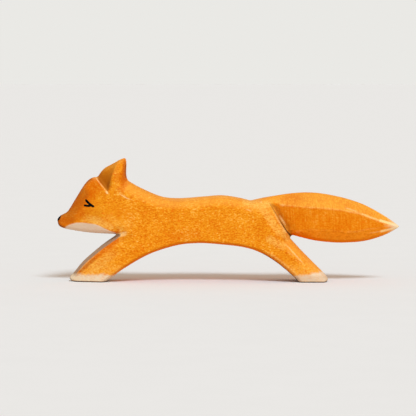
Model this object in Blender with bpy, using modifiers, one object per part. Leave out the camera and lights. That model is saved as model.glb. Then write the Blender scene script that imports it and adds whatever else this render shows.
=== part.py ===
"""A running fox, carved from one piece of board as a wooden toy.

The making follows the real one. The side outline is sawn from a board. Both sides are carved down to a
half thickness that is worked out at each place from a few named cuts, and are sanded. A wedge is then cut
out between the ears, and the soles are ground flat. The fox looks along -X and stands on its paws at
Z = 0. Lengths are in millimetres until the last step, which scales the figure to metres.
"""

import bmesh
import bpy
import numpy as np
from mathutils import Matrix

MM = 0.001

# Driving dimensions
BOARD = 20.0  # thickness of the board
HALF = BOARD / 2
VOXEL = 0.45  # grain of the wood while it is carved
SANDING = 3  # rounds of smoothing after the carving
TRIANGLES = 9000  # of the finished solid
SPACING = 0.5  # between the points of the sawn line
SOLE_GROUND = 0.1  # taken off under the paws, to leave true flats
SOLE_PLAY = 0.01  # a corner this near the ground plane is set on it

NOSE = (-75.3, 27.3)
HEAD_CROWN = (-57.6, 45.8)
EAR_TIP = (-44.6, 54.9)
NAPE = (-44.2, 44.1)
TAIL_ROOT = (9.6, 35.4)
TAIL_TIP = (75.3, 24.0)
CROTCH = (27.8, 20.5)
HOCK_TOP = (26.7, 19.2)
THROAT = (-48.5, 21.0)

# The sawn line, clockwise from the nose. Each stretch is one smooth curve, and a corner is where two meet.
STRETCHES = {
    "brow": [
        NOSE,
        (-74.1, 28.7),
        (-72.4, 29.7),
        (-70.5, 31.0),
        (-66.7, 37.1),
        (-63.1, 42.8),
        (-60.4, 45.3),
        HEAD_CROWN,
    ],
    "ear_front": [HEAD_CROWN, (-54.7, 49.6), (-50.0, 52.3), (-46.4, 54.3), EAR_TIP],
    "ear_back": [EAR_TIP, (-44.6, 53.5), (-45.1, 48.4), (-44.9, 45.8), NAPE],
    "back": [
        NAPE,
        (-38.7, 41.0),
        (-30.0, 37.3),
        (-22.0, 36.4),
        (-10.6, 37.2),
        (-3.6, 37.7),
        (3.4, 36.9),
        TAIL_ROOT,
    ],
    "tail_top": [TAIL_ROOT, (19.3, 37.5), (32.0, 39.1), (44.0, 38.1), (58.0, 34.3), (68.5, 28.7), TAIL_TIP],
    "tail_under": [TAIL_TIP, (68.5, 20.4), (59.7, 17.8), (49.0, 17.1), (38.6, 17.9), (32.0, 19.4), CROTCH],
    "crotch": [CROTCH, HOCK_TOP],
    "hind_back": [HOCK_TOP, (33.0, 12.4), (41.8, 3.6)],
    "hind_heel": [(41.8, 3.6), (43.4, 1.6), (42.8, 0.0)],
    "hind_sole": [(42.8, 0.0), (30.6, 0.0)],
    "belly": [
        (30.6, 0.0),
        (28.1, 2.6),
        (21.0, 8.6),
        (13.5, 13.1),
        (6.0, 15.4),
        (-5.0, 16.7),
        (-14.0, 17.1),
        (-23.0, 16.1),
        (-35.2, 12.1),
        (-45.8, 6.0),
        (-51.1, 2.2),
    ],
    "fore_heel": [(-51.1, 2.2), (-54.2, 0.0)],
    "fore_sole": [(-54.2, 0.0), (-68.2, 0.0)],
    "toe": [(-68.2, 0.0), (-69.9, 1.3), (-69.0, 3.1)],
    "fore_front": [(-68.7, 3.1), (-63.9, 8.9), (-56.2, 15.5), THROAT],
    "jaw": [THROAT, (-52.0, 21.2), (-60.0, 21.5), (-68.6, 22.6), (-74.1, 24.2), NOSE],
}

# What is taken off each side along a stretch of the sawn line, one cut after another: how far in the cut
# reaches, how much it takes off at the line itself, and its power (1 is a flat chamfer, 2 a round edge).
EDGE_CUTS = {
    "brow": [(1.8, 1.0, 1.5)],
    "ear_back": [(2.1, 2.0, 1.2)],
    "hind_back": [(4.3, 2.6, 1.0)],
    "hind_heel": [(2.2, 1.2, 1.3)],
    "toe": [(2.4, 1.2, 1.4)],
    "fore_front": [(4.2, 2.0, 1.0), (1.3, 2.0, 1.0)],
    "fore_sole": [(0.5, 0.4, 2.0)],
    "hind_sole": [(0.5, 0.4, 2.0)],
}
EDGE_SOFTNESS = 0.15
BACK_SOFTNESS = 1.4  # the bevel along the back is sanded softer than the other cuts
CROWN_REACH, CROWN_SHARE, CROWN_POWER = 1.2, 0.35, 1.5  # sanding rounds every sawn edge but the soles

# Half widths in plan, from x to x
HEAD_PLAN = [(-78.0, 2.2), (-75.0, 3.0), (-70.0, 4.4), (-62.0, 7.0), (-54.0, 9.0), (-46.0, 9.8)]
HEAD_PLAN += [(-36.0, HALF), (-26.0, HALF)]
TOP_PLAN = [(-46.0, 6.6), (-20.0, 7.2), (8.0, 7.1), (12.0, 6.6), (16.0, 5.0), (20.0, 2.4), (24.0, 1.7)]
TOP_PLAN += [(31.0, 1.6), (40.0, 2.7), (54.0, 3.4), (65.0, 1.7), (75.0, 0.3)]
TAIL_PLAN = [(15.0, 5.6), (24.0, 5.3), (30.0, 6.1), (38.0, 7.4), (50.0, 7.4), (58.0, 6.3)]
TAIL_PLAN += [(65.0, 4.4), (71.0, 2.6), (75.0, 1.0)]
KEEL_PLAN = [(20.0, 4.0), (26.0, 4.6), (40.0, 4.1), (54.0, 3.8), (61.5, 2.2), (70.6, 0.9), (75.0, 0.3)]
TOP_SLOPE = 0.8  # of the bevel along the back, which runs on as the tail's upper side
KEEL_SLOPE = 0.65  # of the tail's lower side

JAW_BEVEL_FROM, JAW_BEVEL_TO = -73.5, -50.0
JAW_BEVEL_REACH, JAW_BEVEL_DROP = 3.9, 2.2

# Ears: the outside leans in towards the tip, and one flat cut hollows the front up to a straight stop cut
EAR_FOOT = 42.0
EAR_LEAN = 0.2
STOP_CUT = (HEAD_CROWN, (-52.6, 39.5))
HOLLOW_WIDTH = 1.42  # of the hollow, for each unit left of the stop cut
HOLLOW_SLOPE, HOLLOW_DEPTH = 0.9, 4.6
BEHIND_EAR = ((-45.2, 48.5), (-45.6, 39.2))  # the scoop that frees the ear from the neck
BEHIND_EAR_WIDTH, BEHIND_EAR_DEPTH = 1.8, 2.0

# Wedge between the ears
VALLEY_FLOOR = ((-62.0, 45.9), (-40.0, 43.2))
VALLEY_HALF, VALLEY_HEIGHT = 6.2, 11.0
EAR_THICKNESS = 1.7  # least thickness left between the wedge and the hollow

# The haunch is faceted towards its rear edge, where it drops to the tail in a step
HAUNCH_EDGE = [(16.4, 37.5), (18.0, 34.2), (19.5, 32.0), (21.2, 28.8), (23.0, 25.6), (25.2, 22.4), HOCK_TOP]
HAUNCH_EDGE += [(36.0, 15.0), (52.0, 0.0)]  # and on between the leg and the tail
HAUNCH_CUT = (5.8, 1.5, 1.0)
STEP_WIDTH = 0.75
ROOT_SCOOP_AT, ROOT_SCOOP_WIDTH, ROOT_SCOOP_DEPTH = 2.4, 2.2, 0.7

THROAT_GROOVE = (THROAT, (-43.5, 21.6))
THROAT_GROOVE_WIDTH, THROAT_GROOVE_DEPTH = 1.8, 1.6

WOOD_COLOUR = (0.82, 0.30, 0.03, 1.0)


def clear_scene():
    """Removes every object, so that only the fox is left."""
    for obj in list(bpy.data.objects):
        bpy.data.objects.remove(obj)


def curve_through(points):
    """Points along a Catmull-Rom curve through these, about one spacing apart, without the last."""
    ends = np.array([2 * np.array(points[0]) - points[1], *points, 2 * np.array(points[-1]) - points[-2]])
    found = []
    for a, b, c, d in zip(ends, ends[1:], ends[2:], ends[3:]):
        steps = max(1, round(np.linalg.norm(c - b) / SPACING))
        bend, twist = 2 * a - 5 * b + 4 * c - d, 3 * b - a - 3 * c + d
        found += [b + 0.5 * ((c - a) * t + bend * t**2 + twist * t**3) for t in np.arange(steps) / steps]
    return np.array(found)


def distance_to_line(points, line):
    """Least distance of each point from a line of points."""
    least = np.full(len(points), np.inf)
    for start, end in zip(line[:-1], line[1:]):
        along = end - start
        share = np.clip((points - start) @ along / max(along @ along, 1e-12), 0, 1)
        least = np.minimum(least, np.linalg.norm(points - start - share[:, None] * along, axis=1))
    return least


def smooth_step(low, high, value):
    """0 below low, 1 above high, and an S curve between."""
    share = np.clip((value - low) / (high - low), 0, 1)
    return share * share * (3 - 2 * share)


def smooth_min(a, b, softness):
    """The lesser of two heights, with the ridge between them rounded."""
    share = np.clip(0.5 + 0.5 * (b - a) / softness, 0, 1)
    return b + (a - b) * share - softness * share * (1 - share)


def along_and_off(points, line):
    """Distance along a straight line from its start, and distance off it to its left."""
    start, end = np.array(line[0]), np.array(line[1])
    way = (end - start) / np.linalg.norm(end - start)
    offset = points - start
    return offset @ way, offset @ np.array([-way[1], way[0]])


def plan_at(plan, x):
    """Half width at x, from a plan's few stations joined by a smooth curve."""
    curve = curve_through(plan)
    return np.interp(x, curve[:, 0], curve[:, 1])


def edge_cut(distance, reach, drop, power):
    """How much one cut takes off, at a distance from the line it follows."""
    return drop * np.clip(1 - distance / reach, 0, 1) ** power


def jaw_bevel(points, distance):
    """The bevel under the cheek, widest half way along the jaw."""
    swell = np.sin(np.pi * np.clip((points[:, 0] - JAW_BEVEL_FROM) / (JAW_BEVEL_TO - JAW_BEVEL_FROM), 0, 1))
    return edge_cut(distance, 0.6 + JAW_BEVEL_REACH * swell, 0.5 + JAW_BEVEL_DROP * swell, 1.0)


def groove(points, line, width, depth):
    """How much a V groove takes off. It is deepest at its start and runs out at its end."""
    along, off = along_and_off(points, line)
    length = np.linalg.norm(np.subtract(*line))
    fade = 1 - smooth_step(0.35 * length, length, along)
    return depth * fade * np.clip(1 - np.abs(off) / width, 0, 1) * smooth_step(-3.0, 0.0, along)


def ear_outside(points):
    """The outside of the ear, leaning in."""
    in_ear = smooth_step(-40.0, -44.0, points[:, 0])
    return HALF + 0.3 - EAR_LEAN * np.maximum(points[:, 1] - EAR_FOOT, 0) * in_ear


def ear_hollow(points, outside):
    """A flat scoop in front of the ear. It ends at the stop cut, which leaves the brow standing proud."""
    along, off = along_and_off(points, STOP_CUT)
    length = np.linalg.norm(np.subtract(*STOP_CUT))
    left = np.maximum(HOLLOW_WIDTH * (length - along) - off, 0)
    depth = HOLLOW_DEPTH * (1 - np.exp(-HOLLOW_SLOPE * left / HOLLOW_DEPTH))
    scooped = outside - depth * smooth_step(-0.1, 0.5, off)
    (x0, z0), (x1, z1) = VALLEY_FLOOR
    above_floor = points[:, 1] - z0 - (z1 - z0) * (points[:, 0] - x0) / (x1 - x0)
    inner_side = VALLEY_HALF * np.maximum(above_floor, 0) / VALLEY_HEIGHT
    return np.minimum(outside, np.maximum(scooped, inner_side + EAR_THICKNESS))


def behind_haunch(points):
    """Distance behind the haunch's rear edge."""
    edge = curve_through(HAUNCH_EDGE)[::-1]
    return points[:, 0] - np.interp(points[:, 1], edge[:, 1], edge[:, 0])


def half_thickness(points, lines):
    """Half the carved thickness at each point of the side view."""
    x = points[:, 0]
    to_edge = {name: distance_to_line(points, line) for name, line in lines.items()}
    top = plan_at(TOP_PLAN, x) + TOP_SLOPE * np.minimum(to_edge["back"], to_edge["tail_top"])
    head = plan_at(HEAD_PLAN, x)
    head = np.minimum(head, ear_hollow(points, smooth_min(head, ear_outside(points), 0.5)))
    haunch = edge_cut(distance_to_line(points, curve_through(HAUNCH_EDGE)), *HAUNCH_CUT)
    taken = jaw_bevel(points, to_edge["jaw"])
    for name, cuts in EDGE_CUTS.items():
        edge = sum(edge_cut(to_edge[name], *cut) for cut in cuts)
        taken = -smooth_min(-taken, -edge, EDGE_SOFTNESS)
    taken = np.maximum(taken, groove(points, BEHIND_EAR, BEHIND_EAR_WIDTH, BEHIND_EAR_DEPTH))
    taken = np.maximum(taken, groove(points, THROAT_GROOVE, THROAT_GROOVE_WIDTH, THROAT_GROOVE_DEPTH))
    body = smooth_min(head - haunch, top, BACK_SOFTNESS) - taken
    behind = behind_haunch(points)
    keel = plan_at(KEEL_PLAN, x) + KEEL_SLOPE * to_edge["tail_under"]
    scoop = ROOT_SCOOP_DEPTH * np.exp(-(((behind - ROOT_SCOOP_AT) / ROOT_SCOOP_WIDTH) ** 2))
    tail = smooth_min(plan_at(TAIL_PLAN, x) - scoop, top, EDGE_SOFTNESS)
    tail = smooth_min(tail, keel, EDGE_SOFTNESS) - taken
    carved = np.maximum(body + (tail - body) * smooth_step(0.0, STEP_WIDTH, behind), 0.5)
    sawn_edge = np.min([to_edge[name] for name in STRETCHES if not name.endswith("sole")], axis=0)
    return carved * (1 - edge_cut(sawn_edge, CROWN_REACH, CROWN_SHARE, CROWN_POWER))


def sawn_line():
    """Each stretch of the sawn line as closely spaced points, ending on the next stretch's first."""
    curves = {name: curve_through(points) for name, points in STRETCHES.items()}
    names = list(curves)
    following = names[1:] + names[:1]
    return {name: np.vstack([curves[name], curves[after][:1]]) for name, after in zip(names, following)}


def make_board(lines):
    """The sawn blank: the outline as a flat curve, extruded to the board's thickness and made a mesh."""
    outline = np.vstack([line[:-1] for line in lines.values()])
    curve = bpy.data.curves.new("outline", "CURVE")
    curve.dimensions = "2D"
    curve.fill_mode = "BOTH"
    curve.extrude = HALF
    spline = curve.splines.new("POLY")
    spline.points.add(len(outline) - 1)
    for point, (x, z) in zip(spline.points, outline):
        point.co = (x, z, 0, 1)
    spline.use_cyclic_u = True
    guide = bpy.data.objects.new("outline", curve)
    bpy.context.scene.collection.objects.link(guide)
    guide.rotation_euler.x = np.pi / 2
    bpy.context.view_layer.update()
    mesh = bpy.data.meshes.new_from_object(guide.evaluated_get(bpy.context.evaluated_depsgraph_get()))
    mesh.transform(guide.matrix_world)
    bpy.data.objects.remove(guide)
    bm = bmesh.new()
    bm.from_mesh(mesh)
    bmesh.ops.remove_doubles(bm, verts=bm.verts, dist=1e-4)
    bmesh.ops.recalc_face_normals(bm, faces=bm.faces)
    bm.to_mesh(mesh)
    bm.free()
    return bpy.data.objects.new("fox_figure", mesh)


def make_cutter(name, bm):
    """An object that only cuts."""
    bmesh.ops.recalc_face_normals(bm, faces=bm.faces)
    mesh = bpy.data.meshes.new(name)
    bm.to_mesh(mesh)
    bm.free()
    obj = bpy.data.objects.new(name, mesh)
    obj.display_type = "WIRE"
    obj.hide_render = True
    return obj


def make_ear_wedge():
    """The wedge cut out between the ears: a three-sided bar, point down, along the valley's floor."""
    (x0, z0), (x1, z1) = VALLEY_FLOOR
    bm = bmesh.new()
    bmesh.ops.create_cone(bm, segments=3, radius1=1, radius2=1, depth=1, cap_ends=True)
    for v in bm.verts:
        along = v.co.z + 0.5
        spread = 1 if v.co.y < 0 else 0
        height = z0 + along * (z1 - z0) + spread * VALLEY_HEIGHT
        v.co = (x0 + along * (x1 - x0), np.sign(v.co.x) * spread * VALLEY_HALF, height)
    return make_cutter("ear_wedge", bm)


def make_grinding_block():
    """A block under the paws, whose top face leaves their soles flat and at one level."""
    bm = bmesh.new()
    bmesh.ops.create_cube(bm, size=1.0)
    bmesh.ops.scale(bm, vec=(2 * (TAIL_TIP[0] - NOSE[0]), 2 * BOARD, BOARD), verts=bm.verts)
    bmesh.ops.translate(bm, vec=(0, 0, SOLE_GROUND - HALF), verts=bm.verts)
    return make_cutter("grinding_block", bm)


def modified(obj, kind, **settings):
    """Adds one modifier, applies it, and returns the object."""
    modifier = obj.modifiers.new(kind.lower(), kind)
    for name, value in settings.items():
        setattr(modifier, name, value)
    bpy.context.view_layer.update()
    mesh = bpy.data.meshes.new_from_object(obj.evaluated_get(bpy.context.evaluated_depsgraph_get()))
    obj.modifiers.clear()
    obj.data = mesh
    return obj


def corners_of(obj):
    """Every corner of an object's mesh."""
    co = np.empty(len(obj.data.vertices) * 3, np.float32)
    obj.data.vertices.foreach_get("co", co)
    return co.reshape(-1, 3).astype(float)


def move_corners(obj, co):
    """Puts every corner of an object's mesh at a new place."""
    obj.data.vertices.foreach_set("co", co.astype(np.float32).ravel())
    obj.data.update()


def carve(obj, lines):
    """Draws each side in to the carved half thickness."""
    co = corners_of(obj)
    co[:, 1] *= half_thickness(co[:, [0, 2]], lines) / HALF
    move_corners(obj, co)


def set_down(obj):
    """Sets the soles exactly at Z = 0 and centres the figure along X."""
    co = corners_of(obj)
    co[:, 2] = np.where(co[:, 2] < SOLE_GROUND + SOLE_PLAY, 0, co[:, 2] - SOLE_GROUND)
    co[:, 0] -= (co[:, 0].min() + co[:, 0].max()) / 2
    move_corners(obj, co)


def stained_wood():
    """Orange-stained maple."""
    material = bpy.data.materials.new("stained_wood")
    material.use_nodes = True
    shader = material.node_tree.nodes["Principled BSDF"]
    shader.inputs["Base Color"].default_value = WOOD_COLOUR
    shader.inputs["Roughness"].default_value = 0.55
    shader.inputs["Metallic"].default_value = 0.0
    return material


def main():
    clear_scene()
    figure = bpy.data.collections.new("wooden_fox")
    cutters = bpy.data.collections.new("cutters")
    bpy.context.scene.collection.children.link(figure)
    bpy.context.scene.collection.children.link(cutters)
    lines = sawn_line()
    fox = make_board(lines)
    figure.objects.link(fox)
    for cutter in (make_ear_wedge(), make_grinding_block()):
        cutters.objects.link(cutter)
    modified(fox, "REMESH", mode="VOXEL", voxel_size=VOXEL)
    carve(fox, lines)
    modified(fox, "SMOOTH", factor=0.5, iterations=SANDING)
    modified(fox, "TRIANGULATE")
    for cutter in cutters.objects:
        modified(fox, "BOOLEAN", object=cutter, operation="DIFFERENCE")
    modified(fox, "TRIANGULATE")
    modified(fox, "DECIMATE", ratio=TRIANGLES / len(fox.data.polygons))
    set_down(fox)
    for obj in (fox, *cutters.objects):
        obj.data.transform(Matrix.Scale(MM, 4))
    fox.data.materials.clear()
    fox.data.materials.append(stained_wood())
    for polygon in fox.data.polygons:
        polygon.use_smooth = True


main()
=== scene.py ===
"""The looks of a running fox, carved from one board as a wooden toy.

The fox is one piece of maple. It was sawn out, cut with a knife, sanded, stained orange with a brush, rubbed
back along its ridges, and touched up with thin white and black paint. It looks along -X, stands on Z = 0, and
its two sides are alike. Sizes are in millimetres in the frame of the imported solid, unless a comment says
otherwise, and a share runs from 0 to 1.
"""

import logging
import math
from dataclasses import dataclass, field
from enum import Enum
from typing import Any

import bmesh
import bpy
import numpy as np
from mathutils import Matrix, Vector, noise


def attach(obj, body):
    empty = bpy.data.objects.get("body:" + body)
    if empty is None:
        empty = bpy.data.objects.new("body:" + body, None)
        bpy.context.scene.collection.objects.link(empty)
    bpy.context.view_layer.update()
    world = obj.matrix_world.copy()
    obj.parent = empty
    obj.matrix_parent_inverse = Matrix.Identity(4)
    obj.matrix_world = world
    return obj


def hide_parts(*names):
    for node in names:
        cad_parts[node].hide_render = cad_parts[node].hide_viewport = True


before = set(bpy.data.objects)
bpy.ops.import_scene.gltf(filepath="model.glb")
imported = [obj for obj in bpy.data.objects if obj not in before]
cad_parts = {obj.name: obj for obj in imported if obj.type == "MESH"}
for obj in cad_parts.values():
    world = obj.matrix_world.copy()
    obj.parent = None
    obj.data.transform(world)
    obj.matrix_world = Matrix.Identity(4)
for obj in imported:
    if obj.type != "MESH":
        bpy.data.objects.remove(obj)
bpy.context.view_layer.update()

MM = 0.001
BODY = "root"
SOLID = "fox_figure"
MIXED_COLOUR = 2  # place of the colour among a Mix node's outputs

Object = bpy.types.Object
Material = bpy.types.Material
Socket = bpy.types.NodeSocket
Triple = tuple[float, float, float]
Colour = tuple[float, float, float, float]
Path = tuple[tuple[float, float], ...]
Span = tuple[float, float]  # the value that gives a share of 0, and the value that gives 1
Sockets = dict[str | int, Any]

log = logging.getLogger("wooden_fox")


def srgb(red: int, green: int, blue: int) -> Colour:
    """Makes a shader colour from display values.

    Args:
        red: Red, 0 to 255.
        green: Green, 0 to 255.
        blue: Blue, 0 to 255.

    Returns:
        The same colour in linear light, opaque.
    """
    share = np.array([red, green, blue]) / 255
    linear = np.where(share <= 0.04045, share / 12.92, ((share + 0.055) / 1.055) ** 2.4)
    return (*linear.tolist(), 1.0)


BARE_WOOD = srgb(250, 208, 140)
THIN_STAIN = srgb(240, 178, 82)
CREAM_PAINT = srgb(226, 202, 170)


class Mark(Enum):
    """What the wood carries at each corner of its mesh."""

    # Shares.
    RIDGE = "ridge"  # a sharp outer edge that the sandpaper reached
    CREASE = "crease"  # a sharp inner corner, where shade is painted
    UPWARD = "upward"  # how far the surface looks up
    DOWNWARD = "downward"  # and how far down
    EAR_CUP = "ear_cup"  # the hollow of the ear, stained darker and given painted shade
    TAIL = "tail"
    FLUSHED = "flushed"  # stained twice
    BLEACHED = "bleached"  # stained so thinly that the wood shows yellow
    RUBBED = "rubbed"  # rubbed or scratched back to the wood, and one painted glint at the foot of the ear's cut
    UMBER = "umber"  # the brush's brown lines, and painted shade on the brow and snout and along the jaw, the soles and the hind leg's front edge
    SOOT = "soot"  # painted shade: dark lines in a cut, along the soles and down the hind leg's front edge

    # Distances in millimetres, less than 0 outside.
    CHIN = "chin"  # inside the white of the chin
    BIB = "bib"  # inside the strip down the front of the foreleg, whose white paint is painted in shade
    PAW = "paw"  # inside the cream of the paws
    TAIL_TIP = "tail_tip"  # inside the cream of the tail's tip
    BEHIND_HAUNCH = "behind_haunch"  # behind the haunch's rear edge
    BEFORE_EAR = "before_ear"  # in front of the cut that ends the hollow of the ear


@dataclass(frozen=True)
class Pattern:
    """Smooth noise, stretched to suit one kind of mark in the wood."""

    cells: Triple  # how many fit in a millimetre, along X, Y and Z
    turn: float = 0.0  # about Y, in degrees
    detail: float = 2.0  # how many finer layers are added
    roughness: float = 0.5  # how strong each finer layer is
    weight: float = 1.0  # how far it swings what it acts on


class Field:
    """A number that changes from place to place, held by a node socket. Arithmetic on it adds Math nodes."""

    def __init__(self, graph: "Graph", socket: Socket) -> None:
        """Wraps one output socket of a graph."""
        self.graph = graph
        self.socket = socket

    def __add__(self, other: "Field | float") -> "Field":
        """This plus the other."""
        return self.graph.math("ADD", self, other)

    __radd__ = __add__

    def __sub__(self, other: "Field | float") -> "Field":
        """This less the other."""
        return self.graph.math("SUBTRACT", self, other)

    def __rsub__(self, other: "Field | float") -> "Field":
        """The other less this."""
        return self.graph.math("SUBTRACT", other, self)

    def __mul__(self, other: "Field | float") -> "Field":
        """This times the other."""
        return self.graph.math("MULTIPLY", self, other)

    __rmul__ = __mul__

    def above(self, low: float, high: float) -> "Field":
        """Rises smoothly from 0 to 1.

        Args:
            low: The value that gives 0.
            high: The value that gives 1. It may be less than low.

        Returns:
            The share.
        """
        sockets = {"Value": self, "From Min": low, "From Max": high}
        node = self.graph.node("ShaderNodeMapRange", {"interpolation_type": "SMOOTHSTEP"}, sockets)
        return Field(self.graph, node.outputs["Result"])

    def swing(self, weight: float) -> "Field":
        """Noise that is mostly near 0.5, moved to be mostly near 0, and weighed."""
        return (self - 0.5) * weight


class Graph:
    """A node tree, and the few ways in which this file adds nodes to it."""

    def __init__(self, tree: bpy.types.NodeTree) -> None:
        """Takes over an existing tree."""
        self.tree = tree

    def node(self, kind: str, settings: dict[str, Any], sockets: Sockets) -> bpy.types.Node:
        """Adds one node.

        Args:
            kind: The node's type.
            settings: Its properties, which are set first.
            sockets: Its inputs, as fill takes them.

        Returns:
            The node.
        """
        node = self.tree.nodes.new(kind)
        for name, value in settings.items():
            setattr(node, name, value)
        self.fill(node, sockets)
        return node

    def fill(self, node: bpy.types.Node, sockets: Sockets) -> None:
        """Sets or links a node's inputs.

        Args:
            node: The node.
            sockets: A value, link or Field for each input, keyed by the input's identifier or its place.
        """
        by_identifier = {socket.identifier: socket for socket in node.inputs}
        for key, value in sockets.items():
            socket = node.inputs[key] if isinstance(key, int) else by_identifier[key]
            source = value.socket if isinstance(value, Field) else value
            if isinstance(source, Socket):
                self.tree.links.new(source, socket)
            else:
                socket.default_value = source

    def math(self, operation: str, *operands: "Field | float") -> Field:
        """Adds a Math node on its operands, in order."""
        node = self.node("ShaderNodeMath", {"operation": operation}, dict(enumerate(operands)))
        return Field(self, node.outputs["Value"])

    def vector(self, **parts: Any) -> Socket:
        """Joins X, Y and Z into a vector. One that is left out is 0."""
        return self.node("ShaderNodeCombineXYZ", {}, parts).outputs["Vector"]

    def part(self, vector: Socket, axis: str) -> Field:
        """Takes X, Y or Z from a vector."""
        return Field(self, self.node("ShaderNodeSeparateXYZ", {}, {"Vector": vector}).outputs[axis])

    def mark(self, mark: Mark) -> Field:
        """Reads one of the wood's marks."""
        node = self.node("ShaderNodeAttribute", {"attribute_name": mark.value}, {})
        return Field(self, node.outputs["Fac"])

    def line(self, mark: Mark, at: float) -> Field:
        """How far a place is, either way, from the line where a distance mark has one value."""
        return self.math("ABSOLUTE", self.mark(mark) - at)

    def height(self) -> Field:
        """Height above the floor, in millimetres."""
        return self.part(self.node("ShaderNodeTexCoord", {}, {}).outputs["Object"], "Z") * (1 / MM)

    def noise(self, pattern: Pattern) -> Field:
        """Smooth noise on the object's own coordinates, from 0 to 1 and mostly near 0.5.

        Args:
            pattern: Its cells, turn and layers.

        Returns:
            The noise.
        """
        place = self.node("ShaderNodeTexCoord", {}, {}).outputs["Object"]
        turn = (0.0, math.radians(pattern.turn), 0.0)
        turned = self.node("ShaderNodeMapping", {}, {"Vector": place, "Rotation": turn}).outputs["Vector"]
        cells = tuple(count / MM for count in pattern.cells)
        where = self.node("ShaderNodeMapping", {}, {"Vector": turned, "Scale": cells}).outputs["Vector"]
        sockets = {"Vector": where, "Scale": 1.0, "Detail": pattern.detail, "Roughness": pattern.roughness}
        return Field(self, self.node("ShaderNodeTexNoise", {}, sockets).outputs["Fac"])

    def blend(self, share: Field, under: Any, over: Any) -> Socket:
        """Lays a share of one colour, or its socket, over another."""
        sockets = {"Factor_Float": share, "A_Color": under, "B_Color": over}
        return self.node("ShaderNodeMix", {"data_type": "RGBA"}, sockets).outputs[MIXED_COLOUR]

    def bump(self, height: Field, strength: float, depth: float) -> Socket:
        """The surface's direction on a fine relief, which is this many millimetres deep."""
        sockets = {"Strength": strength, "Distance": depth * MM, "Height": height}
        return self.node("ShaderNodeBump", {}, sockets).outputs["Normal"]


@dataclass(frozen=True)
class Coat:
    """One layer of colour over those before it, and how strongly it shows."""

    colour: Colour
    strength: float = 1.0
    gain: float = 0.0  # what the pattern that it shows through adds to the strength
    span: Span | None = None  # where its mask gives none of it and all of it, unless the mask is a share
    ragged: float = 0.0  # how much of the edge's pattern its mask takes on

    def share(self, mask: Field, through: Field | None = None, edge: Field | None = None) -> Field:
        """How much of it shows from place to place.

        Args:
            mask: What it follows.
            through: A pattern that changes its strength.
            edge: A pattern that its edge wanders by.

        Returns:
            The share.
        """
        mask = mask if edge is None else mask + edge * self.ragged
        mask = mask if self.span is None else mask.above(*self.span)
        return mask * (self.strength if through is None else through * self.gain + self.strength)

    def over(self, under: Socket, *follows: Field) -> Socket:
        """Lays it over a colour, by the share that it has on the same values."""
        return follows[0].graph.blend(self.share(*follows), under, self.colour)


class Finish:
    """The looks of one material. Each kind works out what its shader is given."""

    def sockets(self, graph: Graph) -> Sockets:
        """The shader's inputs, as Graph.fill takes them."""
        raise NotImplementedError

    def material(self, name: str) -> Material:
        """Builds the material.

        Args:
            name: Its name.

        Returns:
            The material.
        """
        material = bpy.data.materials.new(name)
        material.use_nodes = True
        graph = Graph(material.node_tree)
        graph.fill(material.node_tree.nodes["Principled BSDF"], self.sockets(graph))
        return material


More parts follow.
